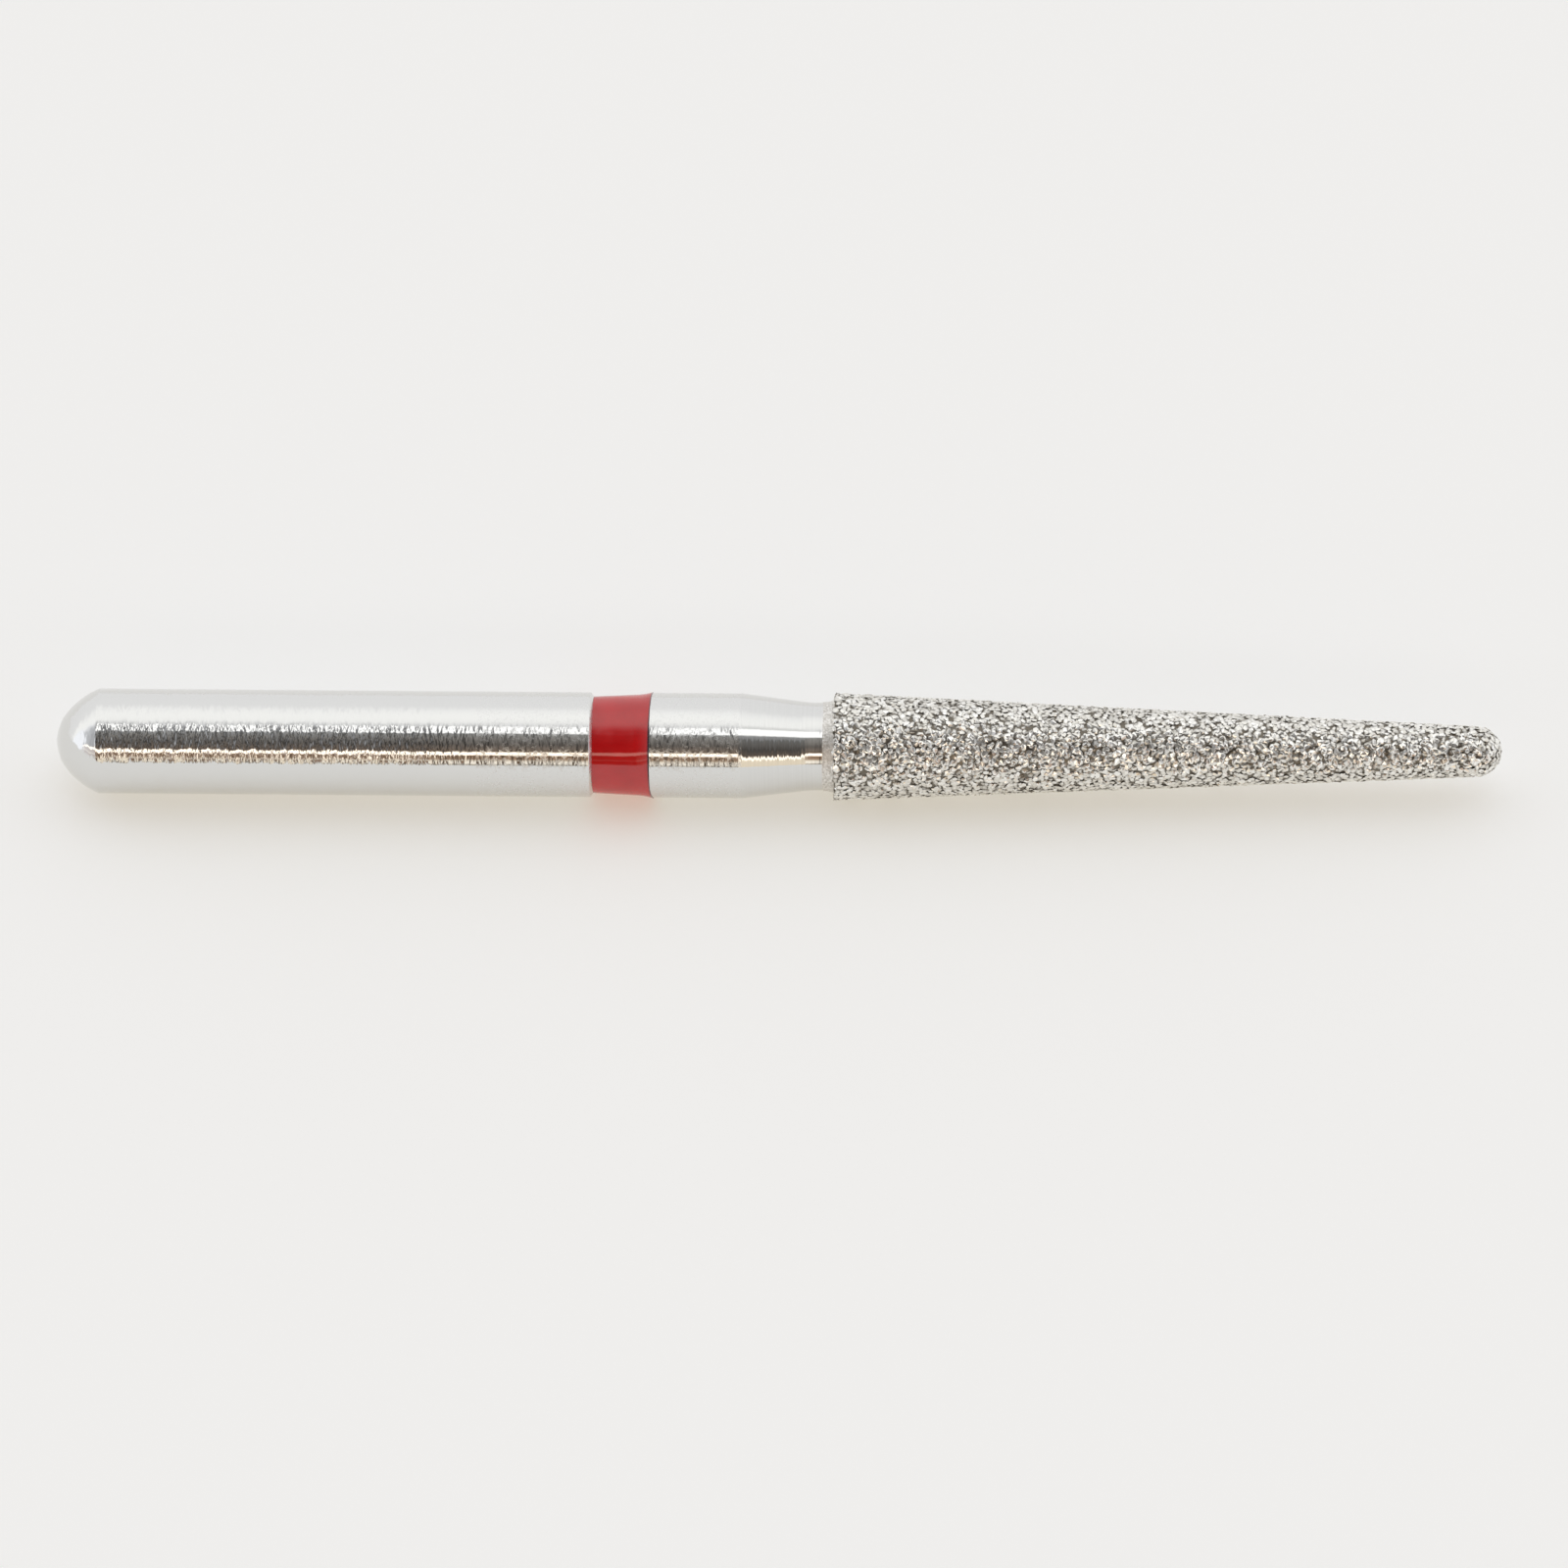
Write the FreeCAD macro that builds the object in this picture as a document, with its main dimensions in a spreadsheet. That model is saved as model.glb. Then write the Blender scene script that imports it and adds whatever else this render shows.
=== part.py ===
import FreeCAD, Part
import math
import os
import random
import Sketcher

# Friction grip diamond bur with a long tapered head and a round end, in millimetres.
# The bur lies along X and points towards +X. The origin is on the axis where the shank
# reaches its full diameter, so the blunt end reaches back to negative X.

SIZES = {
    # Shank, a standard 1.60 mm friction grip, with its blunt turned end.
    "shank_diameter": 1.60,
    "nose_length": 0.65,
    "nose_point_length": 0.09,
    "nose_point_radius": 0.335,
    "nose_point_bulge_radius": 1.00,
    "nose_dome_radius": 1.20,
    # Groove for the colour band, with a bevel on the corner nearer the chuck.
    "band_start": 7.557,
    "band_width": 0.87,
    "band_groove_depth": 0.16,
    "band_bevel_width": 0.044,
    "band_bevel_depth": 0.063,
    # Colour band: it starts low, at the foot of the bevel, and flares up over the front corner.
    "band_flare_length": 0.30,
    "band_flare_depth": 0.033,
    "band_flare_radius": 1.20,
    "band_lip_length": 0.05,
    "band_lip_rise": 0.014,
    # Neck, tapered down from the front end of the shank.
    "front_shank_length": 1.403,
    "neck_taper_length": 1.02,
    "neck_length": 0.36,
    "neck_diameter": 1.34,
    "neck_blend_radius": 2.0,
    # Working head, measured over the diamond. Under the coat the steel runs on from the neck
    # without a step, so the coat is as thick as the step from the neck up to the head.
    "head_length": 10.19,
    "head_base_diameter": 1.66,
    "head_tip_radius": 0.40,
    "grit_thickness": 0.14,
    "grit_least_thickness": 0.105,
    "crystal_pitch": 0.13,
    "bond_thickness": 0.02,
    # Edge of the nickel where it runs out along the neck.
    "bond_margin_length": 0.17,
    "bond_margin_thickness": 0.008,
    "bond_root_thickness": 0.03,
}

SHANK_RADIUS = "Sizes.shank_diameter / 2"
BAND_END = "(Sizes.band_start + Sizes.band_width)"
TAPER_START = f"({BAND_END} + Sizes.front_shank_length)"
NECK_START = f"({TAPER_START} + Sizes.neck_taper_length)"
HEAD_START = f"({NECK_START} + Sizes.neck_length)"
NECK_RADIUS = "Sizes.neck_diameter / 2"
NECK_ANGLE = f"atan2({SHANK_RADIUS} - {NECK_RADIUS}; Sizes.neck_taper_length)"
NECK_BLEND = f"(Sizes.neck_blend_radius * tan({NECK_ANGLE} / 2))"
GRIT_INSET = "Sizes.grit_thickness"
COAT_INSET = "(Sizes.grit_thickness + Sizes.bond_thickness)"


def add_sheet(doc):
    """Writes the driving sizes, one to a row, each with its own alias."""
    sheet = doc.addObject("Spreadsheet::Sheet", "Sizes")
    for row, (name, value) in enumerate(SIZES.items(), start=1):
        sheet.set(f"A{row}", name)
        sheet.set(f"B{row}", str(value))
        sheet.setAlias(f"B{row}", name)
    doc.recompute()


def add_body(doc, name):
    body = doc.addObject("PartDesign::Body", name)
    body.Label = name
    return body


def add_sketch(body, name):
    """A sketch whose x runs along the bur and whose y is the radius."""
    sketch = body.newObject("Sketcher::SketchObject", name)
    plane = next(f for f in body.Origin.OriginFeatures if f.Role == "XZ_Plane")
    sketch.AttachmentSupport = [(plane, "")]
    sketch.MapMode = "FlatFace"
    return sketch


def bind(sketch, constraint, expression):
    """Adds a dimension and ties its value to the sheet."""
    index = sketch.addConstraint(constraint)
    sketch.setExpression(f"Constraints[{index}]", expression)


def place(sketch, edge, end, along, radius):
    """Sets one end of an edge at a distance along the axis and at a radius."""
    point = sketch.getPoint(edge, end)
    if abs(point.x) < 1e-9:
        sketch.addConstraint(Sketcher.Constraint("PointOnObject", edge, end, -2))
    elif point.x > 0:
        bind(sketch, Sketcher.Constraint("DistanceX", -1, 1, edge, end, point.x), along)
    else:
        bind(sketch, Sketcher.Constraint("DistanceX", edge, end, -1, 1, -point.x), f"-({along})")
    if radius == "0":
        sketch.addConstraint(Sketcher.Constraint("PointOnObject", edge, end, -1))
    else:
        bind(sketch, Sketcher.Constraint("DistanceY", -1, 1, edge, end, point.y), radius)


def arc_between(start, finish, bend):
    """The arc from start to finish: a positive bend is its radius where it bulges outwards."""
    chord = finish - start
    middle = (start + finish) / 2
    outwards = FreeCAD.Vector(-chord.y, chord.x, 0).normalize() * (1 if bend > 0 else -1)
    rise = abs(bend) - (bend * bend - (chord.Length / 2) ** 2) ** 0.5
    return Part.Arc(start, middle + outwards * rise, finish)


def draw_outline(sketch, corners):
    """Draws a closed outline and ties it to the sheet.

    A corner is its distance along the axis, its radius, and what leads on to the next corner:
    None for a straight edge, or the radius of an arc, negative where the arc is hollow.
    """
    points = [
        FreeCAD.Vector(sketch.evalExpression(along), sketch.evalExpression(radius), 0)
        for along, radius, _ in corners
    ]
    ends = []
    for i, (_, _, bend) in enumerate(corners):
        start = points[i]
        finish = points[(i + 1) % len(points)]
        if bend is None:
            edge = sketch.addGeometry(Part.LineSegment(start, finish))
        else:
            edge = sketch.addGeometry(arc_between(start, finish, sketch.evalExpression(bend)))
            bulge = abs(sketch.evalExpression(bend))
            bind(sketch, Sketcher.Constraint("Radius", edge, bulge), f"abs({bend})")
        starts_first = sketch.getPoint(edge, 1).distanceToPoint(start) < 1e-6
        ends.append((edge, 1, 2) if starts_first else (edge, 2, 1))
    for i, (along, radius, _) in enumerate(corners):
        edge, first, _ = ends[i]
        before, _, last = ends[i - 1]
        sketch.addConstraint(Sketcher.Constraint("Coincident", before, last, edge, first))
        place(sketch, edge, first, along, radius)


def draw_head(sketch, inset):
    """Draws the outline of the head at a depth below the tops of the diamonds.

    Its edges are, in this order, a flat base, a straight taper, a round end that is tangent to
    the taper, and the axis. Every layer of the head is drawn here, so the layers lie parallel.
    """
    along = f"({HEAD_START} + {inset})"
    base_radius = f"(Sizes.head_base_diameter / 2 - {inset})"
    tip_radius = f"(Sizes.head_tip_radius - {inset})"
    centre_x = sketch.evalExpression(f"{HEAD_START} + Sizes.head_length - Sizes.head_tip_radius")
    rounding = sketch.evalExpression(tip_radius)
    base = FreeCAD.Vector(sketch.evalExpression(along), sketch.evalExpression(base_radius), 0)
    centre = FreeCAD.Vector(centre_x, 0, 0)
    shoulder = FreeCAD.Vector(centre_x, rounding, 0)
    tip = FreeCAD.Vector(centre_x + rounding, 0, 0)
    middle = centre + FreeCAD.Vector(1, 1, 0).normalize() * rounding
    foot = FreeCAD.Vector(base.x, 0, 0)

    face = sketch.addGeometry(Part.LineSegment(foot, base))
    taper = sketch.addGeometry(Part.LineSegment(base, shoulder))
    end = sketch.addGeometry(Part.Arc(shoulder, middle, tip))
    axis = sketch.addGeometry(Part.LineSegment(tip, foot))
    sketch.addConstraint(Sketcher.Constraint("Coincident", face, 2, taper, 1))
    sketch.addConstraint(Sketcher.Constraint("Tangent", taper, 2, end, 2))
    sketch.addConstraint(Sketcher.Constraint("Coincident", end, 1, axis, 1))
    sketch.addConstraint(Sketcher.Constraint("Coincident", axis, 2, face, 1))
    sketch.addConstraint(Sketcher.Constraint("PointOnObject", end, 3, -1))
    sketch.addConstraint(Sketcher.Constraint("PointOnObject", end, 1, -1))
    bind(sketch, Sketcher.Constraint("Radius", end, rounding), tip_radius)
    centre_along = f"{HEAD_START} + Sizes.head_length - Sizes.head_tip_radius"
    bind(sketch, Sketcher.Constraint("DistanceX", -1, 1, end, 3, centre_x), centre_along)
    place(sketch, face, 1, along, "0")
    place(sketch, taper, 1, along, base_radius)


def turn(body, kind, name, sketch):
    """Revolves a sketch about the bur's axis, as a Revolution or as a Groove."""
    feature = body.newObject(f"PartDesign::{kind}", name)
    feature.Profile = sketch
    feature.ReferenceAxis = (sketch, ["H_Axis"])
    feature.Angle = 360
    body.Document.recompute()
    return feature


def build_steel_blank(doc):
    """One turned steel piece: blunt end, shank, neck, and the core that carries the coat."""
    body = add_body(doc, "steel_blank")
    shank = add_sketch(body, "shank_outline")
    draw_outline(shank, [
        ("-Sizes.nose_length", "0", "Sizes.nose_point_bulge_radius"),
        ("-Sizes.nose_length + Sizes.nose_point_length", "Sizes.nose_point_radius",
         "Sizes.nose_dome_radius"),
        ("0", SHANK_RADIUS, None),
        (TAPER_START, SHANK_RADIUS, None),
        (f"{NECK_START} - {NECK_BLEND} * cos({NECK_ANGLE})",
         f"{NECK_RADIUS} + {NECK_BLEND} * sin({NECK_ANGLE})", "-Sizes.neck_blend_radius"),
        (f"{NECK_START} + {NECK_BLEND}", NECK_RADIUS, None),
        (f"{HEAD_START} + {COAT_INSET}", NECK_RADIUS, None),
        (f"{HEAD_START} + {COAT_INSET}", "0", None),
    ])
    turn(body, "Revolution", "shank", shank)
    core = add_sketch(body, "core_outline")
    draw_head(core, COAT_INSET)
    turn(body, "Revolution", "core", core)
    groove = add_sketch(body, "band_groove_outline")
    groove_floor = f"({SHANK_RADIUS} - Sizes.band_groove_depth)"
    bevel_start = "Sizes.band_start - Sizes.band_bevel_width"
    draw_outline(groove, [
        (bevel_start, SHANK_RADIUS, None),
        ("Sizes.band_start", f"{SHANK_RADIUS} - Sizes.band_bevel_depth", None),
        ("Sizes.band_start", groove_floor, None),
        (BAND_END, groove_floor, None),
        (BAND_END, "Sizes.shank_diameter", None),
        (bevel_start, "Sizes.shank_diameter", None),
    ])
    before = body.Shape.Volume
    turn(body, "Groove", "band_groove", groove)
    if body.Shape.Volume >= before:
        raise SystemExit("the band groove cuts nothing")
    return body


def cut_from(doc, name, outer, inner):
    """What is left of the outer solid once the piece that it is laid on is taken out."""
    layer = doc.addObject("Part::Cut", name)
    layer.Label = name
    layer.Base = outer
    layer.Tool = inner
    layer.Refine = False
    return layer


def build_colour_band(doc, blank):
    """Lacquer ring that fills the groove, dips at the bevel and flares up to a thin lip."""
    body = add_body(doc, "band_form")
    outline = add_sketch(body, "band_outline")
    lip_end = f"({BAND_END} + Sizes.band_lip_length)"
    draw_outline(outline, [
        ("Sizes.band_start", "0", None),
        ("Sizes.band_start", f"{SHANK_RADIUS} - Sizes.band_bevel_depth", None),
        (f"{lip_end} - Sizes.band_flare_length",
         f"{SHANK_RADIUS} - Sizes.band_flare_depth", "-Sizes.band_flare_radius"),
        (lip_end, f"{SHANK_RADIUS} + Sizes.band_lip_rise", None),
        (lip_end, "0", None),
    ])
    turn(body, "Revolution", "band", outline)
    return cut_from(doc, "colour_band", body, blank)


def build_bond_form(doc):
    """The nickel and all within it: a margin that covers the end of the neck, then the head."""
    body = add_body(doc, "bond_form")
    margin = add_sketch(body, "bond_margin_outline")
    margin_start = f"{HEAD_START} - Sizes.bond_margin_length"
    margin_end = f"{HEAD_START} + {COAT_INSET} + Sizes.bond_thickness"
    root_radius = f"{NECK_RADIUS} + Sizes.bond_root_thickness"
    draw_outline(margin, [
        (margin_start, "0", None),
        (margin_start, f"{NECK_RADIUS} + Sizes.bond_margin_thickness", None),
        (HEAD_START, root_radius, None),
        (margin_end, root_radius, None),
        (margin_end, "0", None),
    ])
    turn(body, "Revolution", "bond_margin", margin)
    head = add_sketch(body, "bond_outline")
    draw_head(head, GRIT_INSET)
    turn(body, "Revolution", "bond", head)
    return body


# Seed of the crystals' places, and how far each strays, as a share of the crystal pitch.
GRIT_SEED = 7
GRIT_JITTER = 0.25


def crystal_rows(path, pitch, relief):
    """Rows of corners round the head, from its base to its tip, each with its angle.

    The path is the head's outline over the diamonds. Corners lie about one crystal apart. Most
    of them are the top of a crystal or the foot between crystals, and few lie in between.
    """
    draw = random.Random(GRIT_SEED)
    steps = round(path.Length / (pitch * math.cos(math.radians(30))))
    walk = path.discretize(Number=steps + 1)
    rows = [[(0, FreeCAD.Vector(walk[0].x, 0, 0))]]
    for i in range(steps):
        ahead = (walk[i + 1] - walk[max(i - 1, 0)]).normalize()
        inwards = FreeCAD.Vector(ahead.y, -ahead.x, 0) if i else FreeCAD.Vector(0, -1, 0)
        count = round(2 * math.pi * walk[i].y / pitch)
        start = draw.random()
        row = []
        for j in range(count):
            angle = 360 / count * (j + start + draw.uniform(-GRIT_JITTER, GRIT_JITTER))
            slip = draw.uniform(-GRIT_JITTER, GRIT_JITTER) * pitch if i else 0
            corner = walk[i] + ahead * slip + inwards * relief * draw.betavariate(0.5, 0.5)
            turned = FreeCAD.Rotation(FreeCAD.Vector(1, 0, 0), angle).multVec(corner)
            row.append((angle, turned))
        first_angle, first_corner = row[0]
        rows.append(row + [(first_angle + 360, first_corner)])
    return rows + [[(0, walk[-1])]]


def facets_between(first, second):
    """Triangles between two rows, each step taken along the row that is behind the other."""
    facets = []
    i = j = 0
    while i < len(first) - 1 or j < len(second) - 1:
        first_ended = i == len(first) - 1
        second_ended = j == len(second) - 1
        if second_ended or not first_ended and (
                first[i][0] + first[i + 1][0] < second[j][0] + second[j + 1][0]):
            facets.append((first[i][1], first[i + 1][1], second[j][1]))
            i += 1
        else:
            facets.append((first[i][1], second[j + 1][1], second[j][1]))
            j += 1
    return facets


def build_grit_form(doc):
    """The head over the diamonds: a rough skin of facets within the outline of their tops."""
    body = add_body(doc, "grit_tops")
    outline = add_sketch(body, "grit_outline")
    draw_head(outline, "0")
    taper, end = outline.Geometry[1:3]
    path = Part.Wire([taper.toShape(), end.toShape()])
    relief = doc.Sizes.grit_thickness - doc.Sizes.grit_least_thickness
    rows = crystal_rows(path, doc.Sizes.crystal_pitch, relief)
    facets = [
        Part.Face(Part.makePolygon([*corners, corners[0]]))
        for first, second in zip(rows, rows[1:])
        for corners in facets_between(first, second)
    ]
    skin = doc.addObject("Part::Feature", "grit_form")
    skin.Label = "grit_form"
    solid = Part.makeSolid(Part.makeShell(facets))
    if solid.Volume < 0:
        solid.reverse()
    skin.Shape = solid
    return skin


def check(doc, parts):
    """Stops where a feature has failed, or where a piece has no sound solid."""
    for item in doc.Objects:
        if "Invalid" in item.State or "Error" in item.State:
            raise SystemExit(f"{item.Name} has failed: {item.State}")
    for part in parts:
        if part.Shape.isNull() or not part.Shape.isValid() or len(part.Shape.Solids) != 1:
            raise SystemExit(f"{part.Label} is not one sound solid")


doc = FreeCAD.newDocument("diamond_bur")
add_sheet(doc)
blank = build_steel_blank(doc)
band = build_colour_band(doc, blank)
bond_form = build_bond_form(doc)
bond = cut_from(doc, "nickel_bond", bond_form, blank)
grit = cut_from(doc, "diamond_grit", build_grit_form(doc), bond_form)
parts = [blank, band, bond, grit]
doc.recompute()
check(doc, parts)

os.makedirs("parts", exist_ok=True)
for part in parts:
    part.Shape.exportStep(f"parts/{part.Label}.step")
    box = part.Shape.optimalBoundingBox()
    print(f"{part.Label}: x {box.XMin:.3f} to {box.XMax:.3f}, volume {part.Shape.Volume:.4f} mm3")
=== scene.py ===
import math

import bmesh
import bpy
import numpy as np
from mathutils import Matrix, Vector


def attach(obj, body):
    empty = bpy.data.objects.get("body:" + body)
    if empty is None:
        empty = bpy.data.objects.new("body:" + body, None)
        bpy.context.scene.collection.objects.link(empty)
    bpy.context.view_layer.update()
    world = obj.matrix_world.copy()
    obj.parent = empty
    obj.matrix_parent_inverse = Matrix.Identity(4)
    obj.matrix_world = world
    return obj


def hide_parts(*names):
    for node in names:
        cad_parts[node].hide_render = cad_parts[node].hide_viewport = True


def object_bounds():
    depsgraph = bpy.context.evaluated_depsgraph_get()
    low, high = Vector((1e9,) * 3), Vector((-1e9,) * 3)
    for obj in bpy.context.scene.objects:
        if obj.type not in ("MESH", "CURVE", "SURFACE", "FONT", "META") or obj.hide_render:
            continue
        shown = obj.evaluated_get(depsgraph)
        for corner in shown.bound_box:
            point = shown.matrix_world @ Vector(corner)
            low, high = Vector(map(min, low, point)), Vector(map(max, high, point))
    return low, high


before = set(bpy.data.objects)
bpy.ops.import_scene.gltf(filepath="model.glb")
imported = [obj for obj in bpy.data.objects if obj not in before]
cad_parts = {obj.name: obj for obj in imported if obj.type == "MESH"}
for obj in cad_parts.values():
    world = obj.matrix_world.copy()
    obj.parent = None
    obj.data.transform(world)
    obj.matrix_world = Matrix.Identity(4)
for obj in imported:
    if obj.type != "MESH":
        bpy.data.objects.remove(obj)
cad_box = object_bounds()


# Steel blank: the one turned piece that carries everything else. Hardened stainless steel bar,
# turned to its outline and ground along the shank. The wheel leaves fine rings round the shank
# and the tool leaves coarser rings on the taper and the neck, where nothing was ground.

MM = 0.001
TURN_STEPS = 256
SHANK_RADIUS = 0.80
NOSE_END = -0.65
NOSE_POINT = (-0.56, 0.335)
NOSE_POINT_BEND = 1.00
NOSE_DOME_BEND = 1.20
BAND_START = 7.557
BAND_END = 8.427
BAND_BEVEL_WIDTH = 0.044
BAND_BEVEL_DEPTH = 0.063
GROOVE_DEPTH = 0.16
TAPER_START = 9.83
NECK_START = 10.85
NECK_RADIUS = 0.67
NECK_BLEND = 2.0
HEAD_START = 11.21
HEAD_BASE_RADIUS = 0.83
TIP_END = 21.40
TIP_RADIUS = 0.40
GRIT_DEPTH = 0.14
COAT_DEPTH = 0.16
EDGE_ROUNDING = 0.012
SLIGHT_BEND = math.radians(12)
SHARP_BEND = math.radians(30)
LONG_STRETCH = 0.3
HOLD_GAP = 0.02


def arc(start, finish, bend, steps=10):
    """The points of an arc after start, up to finish; a positive bend is a bulge's radius."""
    start, finish = Vector(start), Vector(finish)
    chord = finish - start
    across = Vector((-chord.y, chord.x)).normalized() * math.copysign(1, bend)
    centre = (start + finish) / 2 - across * math.sqrt(bend * bend - chord.length_squared / 4)
    first = start - centre
    turned = first.angle_signed(finish - centre)
    points = []
    for i in range(1, steps + 1):
        angle = -turned * i / steps
        cosine, sine = math.cos(angle), math.sin(angle)
        points.append((centre.x + first.x * cosine - first.y * sine,
                       centre.y + first.x * sine + first.y * cosine))
    return points


def soften(outline, rounding, steps=3):
    """Gives each sharp corner of an outline a small round, as tumbling does."""
    softened = [outline[0]]
    for before, corner, after in zip(outline, outline[1:], outline[2:]):
        before, corner, after = Vector(before), Vector(corner), Vector(after)
        back, on = before - corner, after - corner
        bend = math.pi - back.angle(on)
        if bend < SLIGHT_BEND:
            softened.append(tuple(corner))
            continue
        reach = min(rounding * math.tan(bend / 2), back.length / 3, on.length / 3)
        start, finish = corner + back.normalized() * reach, corner + on.normalized() * reach
        for i in range(steps + 1):
            share = i / steps
            point = start.lerp(corner, share).lerp(corner.lerp(finish, share), share)
            softened.append(tuple(point))
    softened.append(outline[-1])
    return softened


def head_outline(depth, steps=12):
    """The head's outline at a depth below the tops of the diamonds, from its base to its tip."""
    centre = TIP_END - TIP_RADIUS
    start = HEAD_START + depth
    base, rounding = HEAD_BASE_RADIUS - depth, TIP_RADIUS - depth
    span = math.hypot(centre - start, base)
    lean = math.atan2(base, centre - start) - math.asin(rounding / span)
    points = [(start, base)]
    for i in range(steps + 1):
        angle = (math.pi / 2 - lean) * (1 - i / steps)
        points.append((centre + rounding * math.cos(angle), rounding * math.sin(angle)))
    return points


def held_straight(outline):
    """Adds a point near both ends of a long stretch, so that its shading stays straight."""
    held = [outline[0]]
    for start, finish in zip(outline, outline[1:]):
        length = math.dist(start, finish)
        if length > LONG_STRETCH:
            for share in (HOLD_GAP / length, 1 - HOLD_GAP / length):
                held.append(tuple(Vector(start).lerp(Vector(finish), share)))
        held.append(finish)
    return held


def turned_mesh(name, outline, closed=False):
    """Turns an outline of (distance along the axis, radius) in millimetres into a mesh."""
    made = bmesh.new()
    rings = []
    for along, radius in held_straight(outline):
        if radius < 1e-6:
            rings.append([made.verts.new((along * MM, 0, 0))])
            continue
        ring = []
        for i in range(TURN_STEPS):
            angle = 2 * math.pi * i / TURN_STEPS
            ring.append(made.verts.new(
                (along * MM, radius * MM * math.cos(angle), radius * MM * math.sin(angle))))
        rings.append(ring)
    pairs = list(zip(rings, rings[1:]))
    if closed:
        pairs.append((rings[-1], rings[0]))
    for first, second in pairs:
        for i in range(TURN_STEPS):
            j = (i + 1) % TURN_STEPS
            corners = [first[i % len(first)], first[j % len(first)],
                       second[j % len(second)], second[i % len(second)]]
            made.faces.new(list(dict.fromkeys(corners)))
    bmesh.ops.recalc_face_normals(made, faces=made.faces)
    mesh = bpy.data.meshes.new(name)
    made.to_mesh(mesh)
    made.free()
    mesh.shade_smooth()
    mesh.set_sharp_from_angle(angle=SHARP_BEND)
    return mesh


def piece(name, mesh, material, stands_for):
    """Shows a mesh in place of a solid of the frame."""
    made = bpy.data.objects.new(name, mesh)
    bpy.context.scene.collection.objects.link(made)
    mesh.materials.append(material)
    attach(made, "root")
    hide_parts(stands_for)
    return made


def linear(hex_colour):
    """An sRGB hex colour as the linear colour that a shader takes."""
    channels = [int(hex_colour[i:i + 2], 16) / 255 for i in (1, 3, 5)]
    return [c / 12.92 if c <= 0.04045 else ((c + 0.055) / 1.055) ** 2.4 for c in channels] + [1]


def node(tree, kind, inputs=None, **settings):
    """Adds a shader node with its settings. A node given as an input links its first output."""
    made = tree.nodes.new(kind)
    for name, value in settings.items():
        setattr(made, name, value)
    for socket, value in (inputs or {}).items():
        if isinstance(value, bpy.types.Node):
            value = value.outputs[0]
        if isinstance(value, bpy.types.NodeSocket):
            tree.links.new(value, made.inputs[socket])
        else:
            made.inputs[socket].default_value = value
    return made


def new_material(name):
    """An empty material with its shader and output, and the place in millimetres."""
    material = bpy.data.materials.new(name)
    material.use_nodes = True
    tree = material.node_tree
    tree.nodes.clear()
    shader = node(tree, "ShaderNodeBsdfPrincipled")
    node(tree, "ShaderNodeOutputMaterial", {"Surface": shader})
    place = node(tree, "ShaderNodeTexCoord").outputs["Object"]
    in_mm = node(tree, "ShaderNodeVectorMath", {0: place, "Scale": 1 / MM}, operation="SCALE")
    return material, tree, shader, in_mm


# One grinding groove is a few thousandths of a millimetre wide, too fine to show, so a mark is
# drawn as wide as the bundles of grooves that catch the light in the photo.
MARK_WIDTH = 0.025
MARK_LENGTH = 0.22
MARK_SLANT = math.radians(17)
MARK_TILT = 1.15
MARKS_ON_NOSE = 0.15
MARKS_AT_BAND = 0.2
MARKS_ON_TAPER = 1 / 3
NOSE_BLEND = 0.02
CALM_START = 4.0
CALM_END = 6.3
WAVER = 0.11
WAVER_SIZE = (0.08, 0.15, 0.15)
RING_PITCH = 0.03
RING_TILT = 0.10
RING_SHADE = 0.97
RING_LINE = 0.02
RING_LINE_TILT = 0.12
HAZE_SIZE = (0.25, 0.12, 0.12)
HAZE = (0.04, 0.10)
SPECKS_START = 5.8
SPECKS_PER_MM = 18
SPECK_DULLING = 0.22


def stretched_noise(tree, in_mm, size, slant=0, detail=2):
    """Noise whose spots have a size in millimetres along the axis and across it."""
    turned = node(tree, "ShaderNodeVectorRotate",
                  {"Vector": in_mm, "Angle": slant}, rotation_type="Z_AXIS")
    scaled = node(tree, "ShaderNodeVectorMath",
                  {0: turned, 1: [1 / length for length in size]}, operation="MULTIPLY")
    return node(tree, "ShaderNodeTexNoise", {"Vector": scaled, "Scale": 1, "Detail": detail})


def groove_tip(tree, in_mm, along, calm, on_taper):
    """How far the crossed grinding grooves tip the surface along the bur. The nose has hardly
    any, and they calm towards the band."""
    past_nose = node(tree, "ShaderNodeMapRange", {
        "Value": along, "From Min": -NOSE_BLEND, "From Max": 0,
        "To Min": MARKS_ON_NOSE, "To Max": 1})
    groove_tilt = node(tree, "ShaderNodeMapRange", {
        "Value": on_taper, "To Min": MARK_TILT, "To Max": MARK_TILT * MARKS_ON_TAPER})
    for share in (past_nose, calm):
        groove_tilt = node(tree, "ShaderNodeMath", {0: groove_tilt, 1: share},
                           operation="MULTIPLY")
    grooves = [
        stretched_noise(tree, in_mm, (MARK_WIDTH, MARK_LENGTH, MARK_LENGTH), slant=slant)
        for slant in (MARK_SLANT, -MARK_SLANT)]
    crossed = node(tree, "ShaderNodeMath", {0: grooves[0], 1: grooves[1]}, operation="ADD")
    level = node(tree, "ShaderNodeMath", {0: crossed, 1: 1}, operation="SUBTRACT")
    return node(tree, "ShaderNodeMath", {0: level, 1: groove_tilt}, operation="MULTIPLY")


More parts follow.
